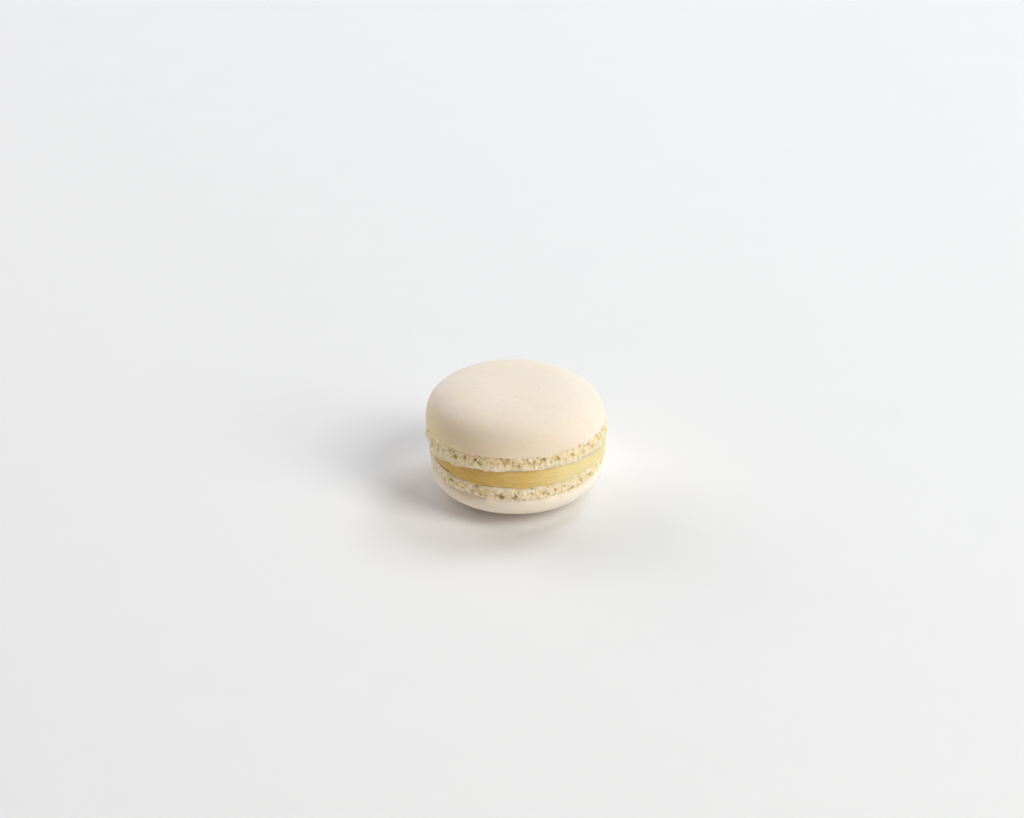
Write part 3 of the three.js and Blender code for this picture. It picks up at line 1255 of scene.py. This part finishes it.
@dataclass(frozen=True)
class Softbox:
    """A square diffused lamp, aimed at the macaron.

    The azimuth is measured from +X towards +Y. Angles are in degrees, sizes in metres and power
    in watts.
    """

    name: str
    azimuth: float
    elevation: float
    side: float
    power: float
    tint: str
    distance: float = 2.0

    def hang(self, target: Vector) -> bpy.types.Object:
        """Make the lamp.

        Args:
            target: the point it is aimed at, in metres.

        Returns:
            The lamp.
        """
        turn, lift = math.radians(self.azimuth), math.radians(self.elevation)
        level = math.cos(lift)
        away = Vector((level * math.cos(turn), level * math.sin(turn), math.sin(lift)))
        lamp = bpy.data.lights.new(self.name, "AREA")
        lamp.shape = "SQUARE"
        lamp.size = self.side
        lamp.energy = self.power
        lamp.color = linear(self.tint)[:3]
        made = bpy.data.objects.new(self.name, lamp)
        made.location = target + away * self.distance
        made.rotation_mode = "QUATERNION"
        made.rotation_quaternion = (-away).to_track_quat("-Z", "Y")
        made.visible_camera = False
        bpy.context.scene.collection.objects.link(made)
        return made


@dataclass
class Studio:
    """A pale paper sweep, soft lamps and a long lens looking down at the front.

    The paper and the clip distances are in metres. The aim pixel is where the point at the aim
    height on the frame's axis lies in the image.
    """

    paper: StudioPaper = field(default_factory=StudioPaper)
    sweep_flat: float = 1.6
    sweep_rise: float = 1.2
    floor_rings: int = 6
    sweep_rings: int = 24
    sweep_columns: int = 96
    sky_tone: str = "FFFFFF"
    sky_strength: float = 0.02
    lamps: tuple[Softbox, ...] = (
        Softbox("key_softbox", azimuth=45, elevation=50, side=0.83, power=13.38, tint="EEF7FF"),
        Softbox("right_high_softbox", azimuth=-30, elevation=45, side=0.83, power=15.8,
                tint="FFFFFB"),
        Softbox("right_low_softbox", azimuth=-30, elevation=25, side=0.83, power=9.7,
                tint="FFFCF4"),
        Softbox("back_softbox", azimuth=100, elevation=55, side=1.33, power=8.46, tint="F2F7FF"),
        Softbox("left_back_softbox", azimuth=140, elevation=30, side=1.33, power=13.55,
                tint="FFF8F7"),
        Softbox("warm_bounce", azimuth=-90, elevation=20, side=1.33, power=2.4, tint="FFAC20"),
    )
    image_width: int = 1024
    image_height: int = 818
    sensor: float = 36.0
    clip: tuple[float, float] = (0.01, 20.0)
    focal_pixels: float = 3870.0
    distance: float = 1000.0
    elevation: float = math.radians(30.5)
    aim_height: float = 16.2
    aim_pixel_x: float = 516.8
    aim_pixel_y: float = 431.8

    def lay_paper(self) -> bpy.types.Object:
        """Lay the paper: a round floor that curves up evenly into a wall on every side.

        Returns:
            The paper.
        """
        rings = [Ring(0, 0, 1)]
        for i in range(1, self.floor_rings + 1):
            rings.append(Ring(self.sweep_flat * i / self.floor_rings / MM, 0, self.sweep_columns))
        for i in range(1, self.sweep_rings + 1):
            bend = i / self.sweep_rings * math.pi / 2
            rings.append(Ring((self.sweep_flat + self.sweep_rise * math.sin(bend)) / MM,
                              self.sweep_rise * (1 - math.cos(bend)) / MM, self.sweep_columns))
        skin = TurnedSkin(rings)
        paper = make_piece("studio_floor", skin.points(), skin.faces(), Matrix.Identity(4), {})
        paper.data.materials.append(self.paper.material())
        paper.data.flip_normals()
        return paper

    def light(self) -> None:
        """Light the scene with a pale even sky and the softboxes."""
        world = bpy.data.worlds.new("studio_air")
        world.use_nodes = True
        background = world.node_tree.nodes["Background"]
        background.inputs["Color"].default_value = linear(self.sky_tone)
        background.inputs["Strength"].default_value = self.sky_strength
        bpy.context.scene.world = world
        target = Vector((0, 0, self.aim_height * MM))
        for lamp in self.lamps:
            lamp.hang(target)

    def place_camera(self) -> bpy.types.Object:
        """Stand the camera in front, aimed so that the macaron lies where it should in the frame.

        Returns:
            The camera.
        """
        back = Vector((0, -math.cos(self.elevation), math.sin(self.elevation)))
        up = Vector((0, math.sin(self.elevation), math.cos(self.elevation)))
        right = Vector((1, 0, 0))
        per_pixel = self.distance / self.focal_pixels
        aside = (self.image_width / 2 - self.aim_pixel_x) * per_pixel
        above = (self.aim_pixel_y - self.image_height / 2) * per_pixel
        aim = Vector((0, 0, self.aim_height)) + right * aside + up * above
        lens = bpy.data.cameras.new("long_lens")
        lens.sensor_width = self.sensor
        lens.lens = self.focal_pixels * self.sensor / self.image_width
        lens.clip_start, lens.clip_end = self.clip
        camera = bpy.data.objects.new("camera", lens)
        camera.location = (aim + back * self.distance) * MM
        camera.rotation_mode = "QUATERNION"
        camera.rotation_quaternion = (-back).to_track_quat("-Z", "Y")
        bpy.context.scene.collection.objects.link(camera)
        bpy.context.scene.camera = camera
        return camera

    def build(self) -> None:
        """Set the whole studio up."""
        self.lay_paper()
        self.light()
        self.place_camera()
        bpy.context.scene.view_settings.view_transform = "Standard"


def main() -> None:
    """Build the macaron and its studio, and report each piece."""
    logging.basicConfig(level=logging.INFO, format="%(name)s: %(message)s")
    for piece in Macaron().dress():
        log.info("%s has %d faces", piece.name, len(piece.data.polygons))
    Studio().build()


if __name__ == "__main__":
    main()
